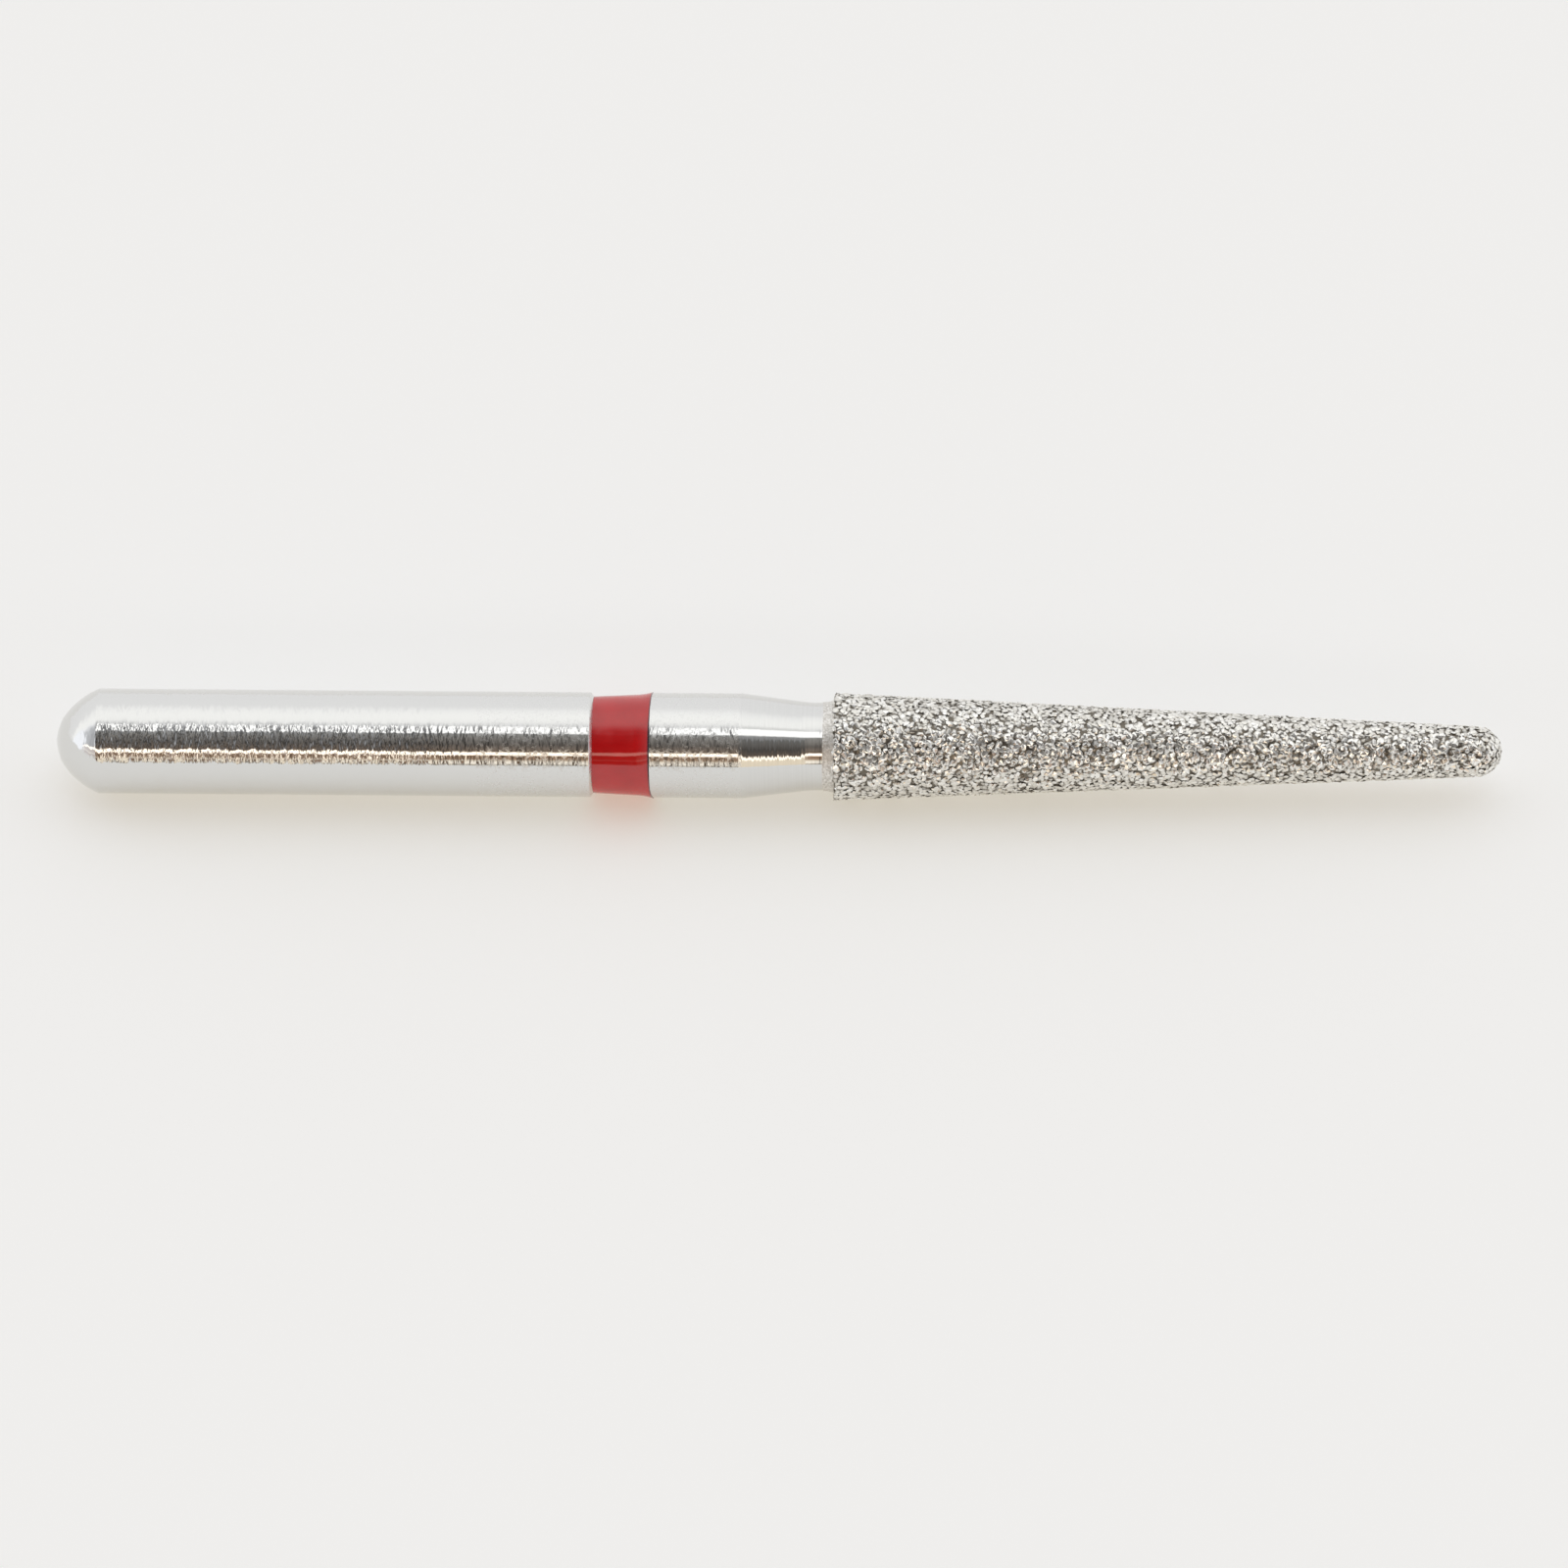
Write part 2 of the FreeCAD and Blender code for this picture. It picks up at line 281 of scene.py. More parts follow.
def ring_tip(tree, along, rings, on_taper):
    """How far the tool's rings tip it, and the line that the tool leaves at their start."""
    ring_tilt = node(tree, "ShaderNodeMapRange", {
        "Value": rings, "To Min": -RING_TILT / 2, "To Max": RING_TILT / 2})
    tip = node(tree, "ShaderNodeMath", {0: ring_tilt, 1: on_taper}, operation="MULTIPLY")
    at_line = node(tree, "ShaderNodeMath", {
        0: along, 1: TAPER_START - RING_LINE, 2: RING_LINE}, operation="COMPARE")
    return node(tree, "ShaderNodeMath", {0: at_line, 1: RING_LINE_TILT, 2: tip},
                operation="MULTIPLY_ADD")


def worn_roughness(tree, in_mm, along):
    """A thin haze over the polish, and the specks that handling left round the band."""
    spots = stretched_noise(tree, in_mm, HAZE_SIZE, detail=4)
    haze = node(tree, "ShaderNodeMapRange", {
        "Value": spots, "From Min": 0.35, "From Max": 0.7,
        "To Min": HAZE[0], "To Max": HAZE[1]})
    specks = node(tree, "ShaderNodeTexNoise", {
        "Vector": in_mm, "Scale": SPECKS_PER_MM, "Detail": 3})
    dull = node(tree, "ShaderNodeMapRange", {
        "Value": specks, "From Min": 0.48, "From Max": 0.62,
        "To Min": 0, "To Max": SPECK_DULLING})
    handled = node(tree, "ShaderNodeMath", {
        0: along, 1: (SPECKS_START + TAPER_START) / 2, 2: (TAPER_START - SPECKS_START) / 2},
        operation="COMPARE")
    return node(tree, "ShaderNodeMath", {0: dull, 1: handled, 2: haze}, operation="MULTIPLY_ADD")


def ground_stainless_steel():
    """Ground stainless steel: a mirror crossed by fine grinding grooves, which throw the light
    sideways in short bright hairs, and by even tool rings on the taper and the neck."""
    material, tree, shader, in_mm = new_material("ground_stainless_steel")
    along = node(tree, "ShaderNodeSeparateXYZ", {"Vector": in_mm})
    calm = node(tree, "ShaderNodeMapRange", {
        "Value": along, "From Min": CALM_START, "From Max": CALM_END,
        "To Min": 1, "To Max": MARKS_AT_BAND}, interpolation_type="SMOOTHSTEP")
    on_taper = node(tree, "ShaderNodeMapRange", {
        "Value": along, "From Min": TAPER_START - RING_LINE, "From Max": TAPER_START})
    rings = node(tree, "ShaderNodeTexNoise", {"W": along, "Scale": 1 / RING_PITCH, "Detail": 2},
                 noise_dimensions="1D")

    # Grooves and rings run round the bur, so they tip its surface along it. A slow waver pushes
    # it about as well.
    tip = node(tree, "ShaderNodeMath", {
        0: groove_tip(tree, in_mm, along, calm, on_taper),
        1: ring_tip(tree, along, rings, on_taper)}, operation="ADD")
    tipped = node(tree, "ShaderNodeCombineXYZ", {"X": tip})
    wavy = stretched_noise(tree, in_mm, WAVER_SIZE).outputs["Color"]
    waver = node(tree, "ShaderNodeVectorMath", {0: wavy, 1: (0.5, 0.5, 0.5)},
                 operation="SUBTRACT")
    waver_size = node(tree, "ShaderNodeMath", {0: calm, 1: WAVER}, operation="MULTIPLY")
    waver = node(tree, "ShaderNodeVectorMath", {0: waver, "Scale": waver_size}, operation="SCALE")
    surface = node(tree, "ShaderNodeNewGeometry").outputs["Normal"]
    for push in (tipped, waver):
        surface = node(tree, "ShaderNodeVectorMath", {0: surface, 1: push}, operation="ADD")
    surface = node(tree, "ShaderNodeVectorMath", {0: surface}, operation="NORMALIZE")
    tree.links.new(surface.outputs["Vector"], shader.inputs["Normal"])

    # Painted shade: on the taper and the neck the steel's colour darkens a little in step with
    # the tool rings, so the ring lines look darker.
    ring_shade = node(tree, "ShaderNodeMapRange", {
        "Value": rings, "From Min": 0.3, "From Max": 0.7, "To Min": RING_SHADE, "To Max": 1})
    tone = node(tree, "ShaderNodeMixRGB", {
        "Fac": on_taper, "Color1": (1, 1, 1, 1), "Color2": ring_shade})
    colour = node(tree, "ShaderNodeMixRGB", {
        "Fac": 1, "Color1": linear("#E1E1DF"), "Color2": tone}, blend_type="MULTIPLY")
    tree.links.new(colour.outputs["Color"], shader.inputs["Base Color"])
    worn = worn_roughness(tree, in_mm, along)
    tree.links.new(worn.outputs["Value"], shader.inputs["Roughness"])
    shader.inputs["Metallic"].default_value = 1
    return material


blank_outline = [(NOSE_END, 0)]
blank_outline += arc(blank_outline[0], NOSE_POINT, NOSE_POINT_BEND)
blank_outline += arc(NOSE_POINT, (0, SHANK_RADIUS), NOSE_DOME_BEND)
groove_floor = SHANK_RADIUS - GROOVE_DEPTH
bevel_foot = SHANK_RADIUS - BAND_BEVEL_DEPTH
blank_outline += [
    (BAND_START - BAND_BEVEL_WIDTH, SHANK_RADIUS),
    (BAND_START, bevel_foot),
    (BAND_START, groove_floor),
    (BAND_END - BAND_BEVEL_WIDTH, groove_floor),
    (BAND_END - BAND_BEVEL_WIDTH, bevel_foot),
    (BAND_END, SHANK_RADIUS),
    (TAPER_START, SHANK_RADIUS),
]
taper_angle = math.atan2(SHANK_RADIUS - NECK_RADIUS, NECK_START - TAPER_START)
reach = NECK_BLEND * math.tan(taper_angle / 2)
blend_start = (NECK_START - reach * math.cos(taper_angle),
               NECK_RADIUS + reach * math.sin(taper_angle))
blank_outline += [blend_start]
blank_outline += arc(blend_start, (NECK_START + reach, NECK_RADIUS), -NECK_BLEND)
blank_outline += head_outline(COAT_DEPTH)
piece("turned_blank", turned_mesh("turned_blank", soften(blank_outline, EDGE_ROUNDING)),
      ground_stainless_steel(), "steel_blank")


# Colour band: a ring of red lacquer run into the groove while the blank spins, then cured. It
# starts low at the foot of the bevel, and its free edge has crept up over the front corner.

LIP_END = 8.477
LIP_RISE = 0.012
FLARE_LENGTH = 0.30
FLARE_DEPTH = 0.033
FLARE_BEND = 1.20
LIP_SEED = 3
LIP_WANDER = 0.016
LIP_FRONT = math.radians(135)
LIP_FRONT_DRAW = 0.055
WAVES_ROUND = (1, 2, 3, 5)
WAVES_REACH = 1.6
CLOUDS_PER_MM = 3
RIPPLES_PER_MM = 2.2
RIPPLE_DEPTH = 0.010


def wander(angle, seed):
    """A slow, even wander round the bur, between -1 and 1, as a free edge has."""
    draw = np.random.default_rng(seed)
    waves = [(turns, draw.uniform(0, 2 * math.pi)) for turns in WAVES_ROUND]
    total = sum(math.sin(turns * angle + phase) / turns for turns, phase in waves)
    return total / WAVES_REACH


def red_lacquer():
    """Cured lacquer: deep red under a smooth gloss, darker at its free edge, partly as thicker
    lacquer and partly as painted shade along the edge's step.
    """
    material, tree, shader, in_mm = new_material("cured_red_lacquer")
    edge = node(tree, "ShaderNodeAttribute", attribute_name="shaded_free_edge")
    clouds = node(tree, "ShaderNodeTexNoise", {
        "Vector": in_mm, "Scale": CLOUDS_PER_MM, "Detail": 3})
    tone = node(tree, "ShaderNodeValToRGB", {"Fac": clouds.outputs["Fac"]})
    tone.color_ramp.elements[0].position = 0.3
    tone.color_ramp.elements[0].color = linear("#B90E12")
    tone.color_ramp.elements[1].position = 0.7
    tone.color_ramp.elements[1].color = linear("#C61317")
    # The free edge is drawn dark purple: partly thicker lacquer, partly painted shade along the
    # step that the edge makes.
    dark = node(tree, "ShaderNodeMixRGB", {
        "Fac": edge.outputs["Fac"], "Color1": tone.outputs["Color"], "Color2": linear("#4A1626")})
    tree.links.new(dark.outputs["Color"], shader.inputs["Base Color"])
    # The band mirrors a little more than plain lacquer, whose IOR is about 1.5.
    shader.inputs["Roughness"].default_value = 0.06
    shader.inputs["IOR"].default_value = 1.74
    ripple = node(tree, "ShaderNodeTexNoise", {
        "Vector": in_mm, "Scale": RIPPLES_PER_MM, "Detail": 1})
    bump = node(tree, "ShaderNodeBump", {
        "Strength": 1, "Distance": RIPPLE_DEPTH * MM, "Height": ripple.outputs["Fac"]})
    tree.links.new(bump.outputs["Normal"], shader.inputs["Normal"])
    return material


band_outline = [
    (BAND_START, groove_floor),
    (BAND_START, bevel_foot),
    (LIP_END - FLARE_LENGTH, SHANK_RADIUS - FLARE_DEPTH),
]
band_outline += arc(band_outline[-1], (LIP_END, SHANK_RADIUS + LIP_RISE), -FLARE_BEND)
band_outline += [(LIP_END, SHANK_RADIUS - LIP_RISE), (BAND_END, groove_floor)]
ring_mesh = turned_mesh("lacquer_ring", band_outline, closed=True)
# The ring at the free edge is marked for its darker colour: thicker lacquer and painted shade
# along its step.
shaded_free_edge = ring_mesh.attributes.new("shaded_free_edge", "FLOAT", "POINT")
for vertex in ring_mesh.vertices:
    # The flare draws back all round by a slow wander, and most where the photo shows it.
    angle = math.atan2(vertex.co.z, vertex.co.y)
    crept = min(max((vertex.co.x / MM - LIP_END + FLARE_LENGTH) / FLARE_LENGTH, 0), 1)
    front = max(math.cos(angle - LIP_FRONT), 0)
    back = LIP_FRONT_DRAW * front + LIP_WANDER * (1 + wander(angle, LIP_SEED)) / 2
    vertex.co.x -= crept * back * MM
    shaded_free_edge.data[vertex.index].value = 1 if crept > 0.999 else 0
piece("lacquer_ring", ring_mesh, red_lacquer(), "colour_band")


# Nickel bond: plated over the core and up round each crystal, which holds the diamond. It stops
# on the neck in a matt, slightly raised margin, where the bath was masked off.

MARGIN_LENGTH = 0.17
MARGIN_THICKNESS = 0.008
ROOT_THICKNESS = 0.03
MARGIN_SEED = 5
MARGIN_WANDER = 0.03
# The real grain of the nickel is too fine to show, so it is drawn several times coarser.
GRAINS_PER_MM = 30
PIT_DEPTH = 0.01


def matt_nickel():
    """Electroplated nickel as it leaves the bath: matt, warm grey and finely pitted."""
    material, tree, shader, in_mm = new_material("matt_electroplated_nickel")
    grain = node(tree, "ShaderNodeTexNoise", {
        "Vector": in_mm, "Scale": GRAINS_PER_MM, "Detail": 3})
    tone = node(tree, "ShaderNodeValToRGB", {"Fac": grain.outputs["Fac"]})
    tone.color_ramp.elements[0].position = 0.35
    tone.color_ramp.elements[0].color = linear("#C9C5BE")
    tone.color_ramp.elements[1].position = 0.65
    tone.color_ramp.elements[1].color = linear("#F6F4F0")
    tree.links.new(tone.outputs["Color"], shader.inputs["Base Color"])
    shader.inputs["Metallic"].default_value = 0.8
    shader.inputs["Roughness"].default_value = 0.4
    bump = node(tree, "ShaderNodeBump", {
        "Strength": 1, "Distance": PIT_DEPTH * MM, "Height": grain.outputs["Fac"]})
    tree.links.new(bump.outputs["Normal"], shader.inputs["Normal"])
    return material


bond_outline = [
    (HEAD_START - MARGIN_LENGTH, NECK_RADIUS - MARGIN_THICKNESS),
    (HEAD_START - MARGIN_LENGTH, NECK_RADIUS + MARGIN_THICKNESS),
    (HEAD_START - MARGIN_LENGTH / 2, NECK_RADIUS + MARGIN_THICKNESS),
    (HEAD_START, NECK_RADIUS + ROOT_THICKNESS),
    (HEAD_START + GRIT_DEPTH, NECK_RADIUS + ROOT_THICKNESS),
]
bond_outline += head_outline(GRIT_DEPTH)
plate_mesh = turned_mesh("nickel_plate", bond_outline)
for vertex in plate_mesh.vertices:
    if vertex.co.x < (HEAD_START - MARGIN_LENGTH + 0.001) * MM:
        angle = math.atan2(vertex.co.z, vertex.co.y)
        vertex.co.x += MARGIN_WANDER * (1 + wander(angle, MARGIN_SEED)) / 2 * MM
piece("nickel_plate", plate_mesh, matt_nickel(), "nickel_bond")


# Diamond grit: crystals one layer deep, set in the nickel to about half their height. Each is a
# blocky, broken crystal with flat faces, so the head glitters in points and not in a sheen.

GRIT_SEED = 7
GRIT_CLEARANCE = 0.003
BASE_ROUND = 0.05
BASE_OVERHANG = 0.02
CRYSTAL_SIZE = 0.099
CRYSTAL_SPREAD = (0.75, 1.15)
CRYSTAL_PITCH = 0.067
CRYSTAL_SLIP = 0.22 * CRYSTAL_PITCH
CRYSTAL_SINK = 0.012
CRYSTAL_TILT = math.radians(8)
CRYSTAL_KINDS = 30
# A crystal's own corners are in parts of its width.
ROOT_DEPTH = 0.75
RIDGE_REACH = (0.15, 0.40)
RIDGE_DROP = 0.08
RIDGE_SKEW = 0.03
SHOULDER_CORNERS = (5, 6)
SHOULDER_REACH = (0.38, 0.52)
SHOULDER_DROP = (0.10, 0.20)
SHOULDER_SLIP = 0.25
LENGTHENED = 1.25
BED_DEPTH = 0.034
BED_STEPS = 64
BED_ROWS = 140
BED_ROUGHNESS = 0.004
BED_SHADE = 0.5
CREVICE_SHADE_START = 0.012
CREVICE_SHADE_END = 0.036


def crystal_kinds(draw):
    """Broken crystals about one unit wide: a ridge on top, a wide low shoulder and a root."""
    kinds = []
    for _ in range(CRYSTAL_KINDS):
        made = bmesh.new()
        made.verts.new((0, 0, -ROOT_DEPTH))
        ridge = draw.uniform(*RIDGE_REACH)
        made.verts.new((-ridge, draw.normal(0, RIDGE_SKEW), draw.uniform(-RIDGE_DROP, 0)))
        made.verts.new((ridge, draw.normal(0, RIDGE_SKEW), 0))
        first = draw.uniform(0, 2 * math.pi)
        count = draw.integers(*SHOULDER_CORNERS, endpoint=True)
        for i in range(count):
            slip = draw.uniform(-SHOULDER_SLIP, SHOULDER_SLIP)
            angle = first + 2 * math.pi * (i + slip) / count
            wide = draw.uniform(*SHOULDER_REACH)
            made.verts.new((LENGTHENED * wide * math.cos(angle), wide * math.sin(angle),
                            -draw.uniform(*SHOULDER_DROP)))
        hull = bmesh.ops.convex_hull(made, input=made.verts)
        inside = [v for v in hull["geom_interior"] if isinstance(v, bmesh.types.BMVert)]
        bmesh.ops.delete(made, geom=inside, context="VERTS")
        bmesh.ops.triangulate(made, faces=made.faces)
        bmesh.ops.recalc_face_normals(made, faces=made.faces)
        made.verts.index_update()
        points = np.array([v.co for v in made.verts])
        faces = np.array([[v.index for v in f.verts] for f in made.faces])
        made.free()
        kinds.append((points, faces))
    return kinds


def crystal_places(draw, outline):
    """Where each crystal's top is, and which way it faces, row after row from base to tip."""
    lengths = [math.dist(a, b) for a, b in zip(outline, outline[1:])]
    row_gap = CRYSTAL_PITCH * math.sqrt(3) / 2
    rows = round(sum(lengths) / row_gap)
    places = []
    for row in range(rows):
        walked = (row + 0.5) * sum(lengths) / rows
        edge = 0
        while walked > lengths[edge]:
            walked -= lengths[edge]
            edge += 1
        start, finish = Vector(outline[edge]), Vector(outline[edge + 1])
        on = (finish - start).normalized()
        point = start + on * walked
        count = max(1, round(2 * math.pi * point.y / CRYSTAL_PITCH))
        phase = draw.uniform(0, 2 * math.pi)
        for i in range(count):
            slip = draw.normal(0, CRYSTAL_SLIP, 2)
            spot = point + on * slip[0]
            angle = phase + 2 * math.pi * i / count + slip[1] / max(point.y, CRYSTAL_PITCH)
            sink = abs(draw.normal(0, CRYSTAL_SINK))
            places.append((spot, on, angle, sink))
    return places


def set_crystal(draw, corners, spot, on, angle, sink):
    """One crystal's corners on the head, turned and leaned by chance, and their depths."""
    size = CRYSTAL_SIZE * draw.uniform(*CRYSTAL_SPREAD)
    cosine, sine = math.cos(angle), math.sin(angle)
    out = np.array((-on.y, on.x * cosine, on.x * sine))
    across = np.array((0, -sine, cosine))
    ahead = np.cross(across, out)
    spin = draw.uniform(0, 2 * math.pi)
    lean = draw.normal(0, CRYSTAL_TILT, 2)
    first = ahead * math.cos(spin) + across * math.sin(spin) + out * lean[0]
    first /= np.linalg.norm(first)
    top = out + ahead * lean[0] + across * lean[1]
    top -= first * top.dot(first)
    top /= np.linalg.norm(top)
    local = corners @ np.array((first, np.cross(top, first), top)) * size
    place = np.array((spot.x, spot.y * cosine, spot.y * sine))
    height = (local @ out).max()
    return local + place - out * (height + sink), height + sink - local @ out


def nickel_bed(draw):
    """The rough bed of nickel that rises between the crystals, a little below their tops."""
    outline = [(HEAD_START + BED_DEPTH, NECK_RADIUS)] + head_outline(BED_DEPTH)[:-1]
    taper_rows = np.linspace(outline[1], outline[2], BED_ROWS)
    outline = outline[:1] + [tuple(place) for place in taper_rows] + outline[3:]
    turns = np.arange(BED_STEPS) * 2 * math.pi / BED_STEPS
    points, faces = [], []
    for along, radius in outline:
        rough = radius + draw.normal(0, BED_ROUGHNESS, BED_STEPS)
        ring = np.stack((np.full(BED_STEPS, along), rough * np.cos(turns), rough * np.sin(turns)))
        points.append(ring.T)
    step = np.arange(BED_STEPS)
    beside = (step + 1) % BED_STEPS
    for row in range(len(outline) - 1):
        near, far = row * BED_STEPS, (row + 1) * BED_STEPS
        faces.append(np.stack((near + step, far + step, near + beside)).T)
        faces.append(np.stack((near + beside, far + step, far + beside)).T)
    return np.concatenate(points), np.concatenate(faces)


def grit_mesh():
    """All the crystals of the head and the bed of nickel between them, as one mesh."""
    draw = np.random.default_rng(GRIT_SEED)
    kinds = crystal_kinds(draw)
    tops = head_outline(GRIT_CLEARANCE, steps=40)
    base, width = tops[0]
    rows = [(base, NECK_RADIUS + ROOT_THICKNESS + CRYSTAL_SIZE / 4), (base, width - BASE_ROUND),
            (base + BASE_ROUND, width)] + tops[1:]
    points, faces, shades, depths = [], [], [], []
    count = 0
    for spot, on, angle, sink in crystal_places(draw, rows):
        corners, sides = kinds[draw.integers(CRYSTAL_KINDS)]
        placed, sunk = set_crystal(draw, corners, spot, on, angle, sink)
        points.append(placed)
        depths.append(sunk)
        faces.append(sides + count)
        shades += [draw.uniform()] * len(sides)
        count += len(corners)
    placed, sides = nickel_bed(draw)
    points.append(placed)
    # The bed lies deep enough to take nearly all of the painted crevice shade.
    depths.append(np.full(len(placed), BED_DEPTH))
    faces.append(sides + count)
    shades += [BED_SHADE] * len(sides)

    # No corner stands out of the head's outline or of the solid's box.
    points = np.concatenate(points)
    along, radii = np.array(tops).T
    points[:, 0] = np.clip(points[:, 0], along[0] - BASE_OVERHANG, along[-1])
    most = np.interp(points[:, 0], along, radii)
    has = np.maximum(np.hypot(points[:, 1], points[:, 2]), 1e-9)
    points[:, 1:] *= np.minimum(1, most / has)[:, None]
    points = np.clip(points, np.array(cad_box[0]) / MM, np.array(cad_box[1]) / MM)
    mesh = bpy.data.meshes.new("diamond_crystals")
    mesh.from_pydata((points * MM).tolist(), [], np.concatenate(faces).tolist())
    shade = mesh.attributes.new("crystal_shade", "FLOAT", "FACE")
    shade.data.foreach_set("value", shades)
    depth = mesh.attributes.new("depth_in_coat", "FLOAT", "POINT")
    depth.data.foreach_set("value", np.concatenate(depths))
    return mesh


def diamond_in_nickel():
    """Diamond grit under a breath of nickel: bright tops, and painted shade that darkens it with
    depth below the tops, in the crevices and on the bed between the crystals.
    """
    material, tree, shader, _ = new_material("nickel_washed_diamond")
    shade = node(tree, "ShaderNodeAttribute", attribute_name="crystal_shade")
    tone = node(tree, "ShaderNodeValToRGB", {"Fac": shade.outputs["Fac"]})
    tone.color_ramp.elements[0].color = linear("#E2DFD7")
    tone.color_ramp.elements[1].color = linear("#FFFEFA")
    # Painted shade: the deeper a corner lies below the crystals' tops, the nearer its colour
    # comes to a dark brown, as shade falls in the crevices.
    depth = node(tree, "ShaderNodeAttribute", attribute_name="depth_in_coat")
    sunk = node(tree, "ShaderNodeMapRange", {
        "Value": depth.outputs["Fac"], "From Min": CREVICE_SHADE_START, "From Max": CREVICE_SHADE_END})
    colour = node(tree, "ShaderNodeMixRGB", {
        "Fac": sunk, "Color1": tone, "Color2": linear("#5C5344")})
    tree.links.new(colour.outputs["Color"], shader.inputs["Base Color"])
    dull = node(tree, "ShaderNodeMapRange", {"Value": sunk, "To Min": 0.08, "To Max": 0.2})
    tree.links.new(dull.outputs["Result"], shader.inputs["Roughness"])
    shader.inputs["Metallic"].default_value = 0.85
    return material


piece("diamond_crystals", grit_mesh(), diamond_in_nickel(), "diamond_grit")


# Floor: a smooth pale board of matt card under the bur, wide enough to fill the view. The bur
# lies on the base of its head, which is its widest place.

FLOOR_DROP = HEAD_BASE_RADIUS + 0.002
FLOOR_HALF_WIDTH = 400


def glowing_board():
    """Matt card with a painted glow: it gives off a warm light of its own, which keeps the bur's
    shadow on it light and warm, while its lit colour is bluish, so that the two add up to pale
    grey.
    """
    material, _, shader, _ = new_material("matt_board_painted_glow")
    shader.inputs["Base Color"].default_value = linear("#C1CAD8")
    shader.inputs["Roughness"].default_value = 1
    shader.inputs["Specular IOR Level"].default_value = 0
    # Painted glow: this warm emission lightens and warms the bur's shadow on the board.
    shader.inputs["Emission Color"].default_value = linear("#B1A896")
    shader.inputs["Emission Strength"].default_value = 1
    return material


floor_mesh = bpy.data.meshes.new("floor")
reach = FLOOR_HALF_WIDTH * MM
floor_mesh.from_pydata(
    [(x * reach, y * reach, -FLOOR_DROP * MM) for x, y in ((-1, -1), (1, -1), (1, 1), (-1, 1))],
    [], [(0, 1, 2, 3)])
floor = bpy.data.objects.new("floor", floor_mesh)
bpy.context.scene.collection.objects.link(floor)
floor_mesh.materials.append(glowing_board())


# Light: the studio round the bur, painted by direction. White sheets hang above and behind, the
# front is dark where the photographer stands, and a warm table edge shines low in front.

STUDIO = [
    # Degrees up from the front, round the bur's axis; colour; strength.
    (0, "#BBB2A4", 1.0),
    (2, "#BBB2A4", 1.0),
    (4, "#F9F0E2", 1.2),
    (8.5, "#F9F0E2", 1.2),
    (10.5, "#F0E2CE", 1.1),
    (14, "#B0957E", 1.0),
    (22.5, "#967860", 1.0),
    (24, "#FFF0DE", 2.0),
    (29.5, "#FFF0DE", 2.0),
    (31, "#7A6858", 1.0),
    (38, "#877A70", 1.0),
    (47, "#6F6964", 1.0),
    (60, "#938F8B", 1.0),
    (70, "#9F9E9C", 1.0),
    (73, "#CECED0", 1.0),
    (84, "#E6E6E8", 1.0),
    (90, "#FDFDFE", 1.0),
    (97, "#F5F5F4", 1.2),
    (104, "#FBFBFA", 1.2),
    (115, "#FBFBFA", 1.2),
    (125, "#F6F6F6", 1.2),
    (138, "#FAFAFB", 1.0),
    (180, "#F6F6F7", 1.0),
]
# Heights are in degrees up from the front. Places along the bur are the sideways part of the
# direction, from -1 towards the shank's end to 1 towards the tip.
EDGE_BEND = 15
EDGE_BEND_START = 0.10
EDGE_BEND_END = 0.29
TABLE_TOP = 23
TABLE_SOFT = 1
SHELF_FOOT = 3
SHELF_TOP = 9.5
CREAM_START = 0.12
LAMP_LEFT = -0.098
LAMP_RIGHT = 0.32
LAMP_LOW = 71.5
LAMP_TOP = 87
LAMP_STRENGTH = 1.4
LAMP_SOFT_SIDE = 0.03
LAMP_SOFT_EDGE = 2
DARK_START = (31, 33)
DARK_END = (80, 96)
LEFT_FALL = (-0.15, 0)
LEFT_LEVEL = 0.3
RIGHT_FALL = (0.08, 0.2)
RIGHT_LEVEL = 0.45
SHADE_LEFT = -0.22
SHADE_RIGHT = -0.06
SHADE_LEVEL = 0.4
TABLE_RISE = (0, 0.2)
TABLE_LEVEL = 1.25
SIDE_SOFT = 0.04
WALL_FADE = (0.15, 1.6)
WALL_START = (0.86, 0.94)
WALL_TOP = (90, 110)
WALL_STRENGTH = 1.3

world = bpy.data.worlds.new("studio")
bpy.context.scene.world = world
world.use_nodes = True
sky = world.node_tree
sky.nodes.clear()
direction = node(sky, "ShaderNodeTexCoord").outputs["Generated"]
parts = node(sky, "ShaderNodeSeparateXYZ", {"Vector": direction})
side = parts.outputs["X"]
off_middle = node(sky, "ShaderNodeMath", {0: side}, operation="ABSOLUTE")
forward = node(sky, "ShaderNodeMath", {0: parts.outputs["Y"], 1: -1}, operation="MULTIPLY")
turn = node(sky, "ShaderNodeMath", {0: parts.outputs["Z"], 1: forward}, operation="ARCTAN2")
rise = node(sky, "ShaderNodeMath", {0: turn}, operation="DEGREES")


def between(value, low, high, soft):
    """One where a value lies between two limits, and nought past them."""
    middle, half = (low + high) / 2, (high - low) / 2
    off = node(sky, "ShaderNodeMath", {0: value, 1: middle}, operation="SUBTRACT")
    off = node(sky, "ShaderNodeMath", {0: off}, operation="ABSOLUTE")
    return node(sky, "ShaderNodeMapRange", {
        "Value": off, "From Min": half - soft / 2, "From Max": half + soft / 2,
        "To Min": 1, "To Max": 0})


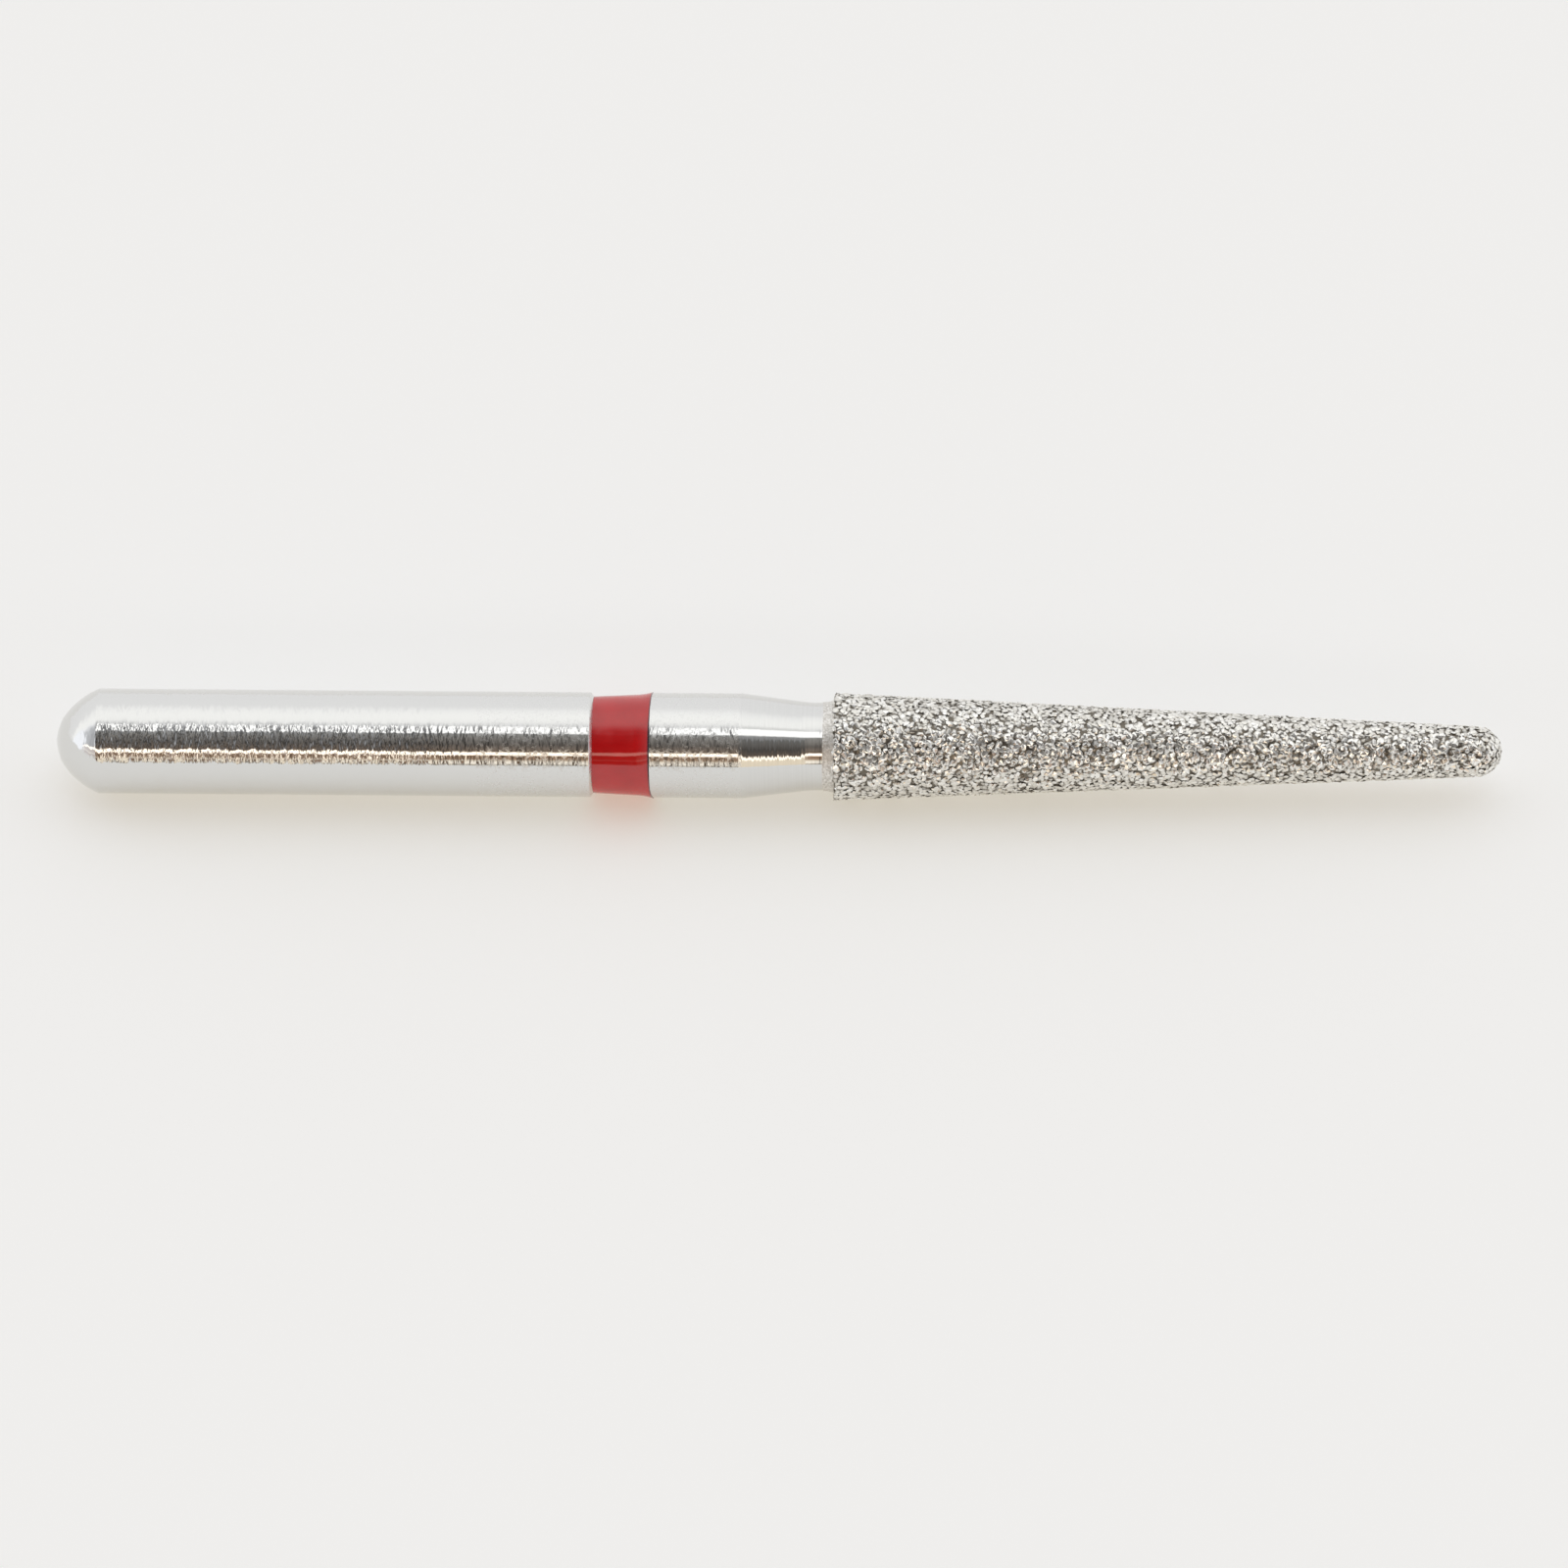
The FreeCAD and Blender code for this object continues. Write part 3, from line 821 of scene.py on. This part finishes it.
# The sheets and the edge. On the side that the neck mirrors the edge comes nearer, so it is
# seen lower down.
nearer = node(sky, "ShaderNodeMapRange", {
    "Value": side, "From Min": EDGE_BEND_START, "From Max": EDGE_BEND_END,
    "To Min": 0, "To Max": EDGE_BEND})
up_to_corner = between(side, -1, LAMP_RIGHT, SIDE_SOFT)
bent = node(sky, "ShaderNodeMath", {0: nearer, 1: up_to_corner, 2: rise},
            operation="MULTIPLY_ADD")
share = node(sky, "ShaderNodeMapRange", {"Value": bent, "From Min": 0, "From Max": 180})
ramp = node(sky, "ShaderNodeValToRGB", {"Fac": share})
stops = ramp.color_ramp.elements
while len(stops) > 1:
    stops.remove(stops[-1])
for i, (degrees, hex_colour, strength) in enumerate(STUDIO):
    stop = stops[0] if i == 0 else stops.new(degrees / 180)
    stop.position = degrees / 180
    stop.color = [c * strength for c in linear(hex_colour)[:3]] + [1]

# The table below the edge is brown, with a cream shelf low in the middle of it, and it turns
# cream all over on the neck's side.
under_lamp = between(side, LAMP_LEFT, LAMP_RIGHT, LAMP_SOFT_SIDE)
past_lamp = node(sky, "ShaderNodeMath", {0: 1, 1: under_lamp}, operation="SUBTRACT")
on_shelf = between(bent, SHELF_FOOT, SHELF_TOP, TABLE_SOFT)
brown = node(sky, "ShaderNodeMath", {0: past_lamp, 1: on_shelf}, operation="MULTIPLY")
front = node(sky, "ShaderNodeMixRGB", {
    "Fac": brown, "Color1": ramp, "Color2": linear("#967860")})
on_table = between(bent, -TABLE_TOP, TABLE_TOP, TABLE_SOFT)
on_neck_side = between(side, CREAM_START, LAMP_RIGHT, SIDE_SOFT)
cream = node(sky, "ShaderNodeMath", {0: on_neck_side, 1: on_table}, operation="MULTIPLY")
front = node(sky, "ShaderNodeMixRGB", {
    "Fac": cream, "Color1": front, "Color2": linear("#E6D8C2")})

# The dark front falls off to both sides. The table is in shade left of the middle and brightens
# to the right.
above_edge = node(sky, "ShaderNodeMapRange", {
    "Value": bent, "From Min": DARK_START[0], "From Max": DARK_START[1]})
below_sheets = node(sky, "ShaderNodeMapRange", {
    "Value": rise, "From Min": DARK_END[0], "From Max": DARK_END[1], "To Min": 1, "To Max": 0})
in_dark = node(sky, "ShaderNodeMath", {0: above_edge, 1: below_sheets}, operation="MULTIPLY")
to_left = node(sky, "ShaderNodeMapRange", {
    "Value": side, "From Min": LEFT_FALL[0], "From Max": LEFT_FALL[1],
    "To Min": LEFT_LEVEL, "To Max": 1})
to_right = node(sky, "ShaderNodeMapRange", {
    "Value": side, "From Min": RIGHT_FALL[0], "From Max": RIGHT_FALL[1],
    "To Min": 1, "To Max": RIGHT_LEVEL})
fall_off = node(sky, "ShaderNodeMath", {0: to_left, 1: to_right}, operation="MULTIPLY")
dimmed = node(sky, "ShaderNodeMixRGB", {
    "Fac": in_dark, "Color1": (1, 1, 1, 1), "Color2": fall_off})
in_shade = between(side, SHADE_LEFT, SHADE_RIGHT, SIDE_SOFT)
shade = node(sky, "ShaderNodeMapRange", {
    "Value": in_shade, "To Min": 1, "To Max": SHADE_LEVEL})
brighter = node(sky, "ShaderNodeMapRange", {
    "Value": side, "From Min": TABLE_RISE[0], "From Max": TABLE_RISE[1],
    "To Min": 1, "To Max": TABLE_LEVEL})
table_light = node(sky, "ShaderNodeMath", {0: shade, 1: brighter}, operation="MULTIPLY")
graded = node(sky, "ShaderNodeMixRGB", {
    "Fac": on_table, "Color1": dimmed, "Color2": table_light})
front = node(sky, "ShaderNodeMixRGB", {
    "Fac": 1, "Color1": front, "Color2": graded}, blend_type="MULTIPLY")

# White walls stand at both ends, up to the height of the sheets, and the light fades out
# towards them from both sides.
below_top = node(sky, "ShaderNodeMapRange", {
    "Value": rise, "From Min": WALL_TOP[0], "From Max": WALL_TOP[1], "To Min": 1, "To Max": 0})
near_wall = node(sky, "ShaderNodeMapRange", {
    "Value": off_middle, "From Min": WALL_FADE[0], "From Max": WALL_FADE[1]},
    interpolation_type="SMOOTHSTEP")
at_end = node(sky, "ShaderNodeMapRange", {
    "Value": off_middle, "From Min": WALL_START[0], "From Max": WALL_START[1]})
at_wall = node(sky, "ShaderNodeMath", {0: near_wall, 1: at_end}, operation="MAXIMUM")
wall = node(sky, "ShaderNodeMath", {0: at_wall, 1: below_top}, operation="MULTIPLY")
wall_light = [c * WALL_STRENGTH for c in linear("#F4F6FC")]
walled = node(sky, "ShaderNodeMixRGB", {"Fac": wall, "Color1": front, "Color2": wall_light})

# A long lamp hangs over the dark front.
lamp_height = between(rise, LAMP_LOW, LAMP_TOP, LAMP_SOFT_EDGE)
lamp = node(sky, "ShaderNodeMath", {0: under_lamp, 1: lamp_height}, operation="MULTIPLY")
studio = node(sky, "ShaderNodeMixRGB", {
    "Fac": lamp, "Color1": walled, "Color2": [LAMP_STRENGTH] * 3 + [1]})

# The camera sees a plain pale backdrop past the board, and the bur is lit by the studio.
rays = node(sky, "ShaderNodeLightPath")
lit = node(sky, "ShaderNodeBackground", {"Color": studio, "Strength": 1})
seen = node(sky, "ShaderNodeBackground", {"Color": linear("#F1F1F2"), "Strength": 1})
either = node(sky, "ShaderNodeMixShader", {0: rays.outputs["Is Camera Ray"], 1: lit, 2: seen})
node(sky, "ShaderNodeOutputWorld", {"Surface": either})


# Camera: a long macro lens, just under 50 degrees above the board and turned a little towards
# the tip. The photo's scale and the places of the bur in it set the frame.

PX_PER_MM = 66.95
FRAME_PX = 1600
ORIGIN_COLUMN_PX = 99.8
AXIS_ABOVE_MIDDLE_PX = 38.6
FRAME_WIDTH = FRAME_PX / PX_PER_MM
CAMERA_DISTANCE = 250
CAMERA_RISE = math.radians(48.5)
CAMERA_TURN = math.radians(1.9)
AXIS_SLOPE = math.radians(0.4526)
AIM_ALONG = (FRAME_PX / 2 - ORIGIN_COLUMN_PX) / PX_PER_MM
AIM_BELOW = AXIS_ABOVE_MIDDLE_PX / PX_PER_MM

towards = Vector((math.sin(CAMERA_TURN),
                  -math.cos(CAMERA_TURN) * math.cos(CAMERA_RISE),
                  math.cos(CAMERA_TURN) * math.sin(CAMERA_RISE)))
axis = Vector((1, 0, 0))
axis_seen = (axis - towards * axis.dot(towards)).normalized()
upright = towards.cross(axis_seen)
right = axis_seen * math.cos(AXIS_SLOPE) + upright * math.sin(AXIS_SLOPE)
up = towards.cross(right)
aim = axis * AIM_ALONG - up * AIM_BELOW
lens = bpy.data.cameras.new("camera")
lens.sensor_width = 36
lens.lens = lens.sensor_width * CAMERA_DISTANCE / FRAME_WIDTH
lens.clip_start = 0.01
camera = bpy.data.objects.new("camera", lens)
bpy.context.scene.collection.objects.link(camera)
camera.matrix_world = Matrix((
    (right.x, up.x, towards.x, (aim.x + towards.x * CAMERA_DISTANCE) * MM),
    (right.y, up.y, towards.y, (aim.y + towards.y * CAMERA_DISTANCE) * MM),
    (right.z, up.z, towards.z, (aim.z + towards.z * CAMERA_DISTANCE) * MM),
    (0, 0, 0, 1)))
bpy.context.scene.camera = camera
bpy.context.scene.view_settings.view_transform = "Standard"
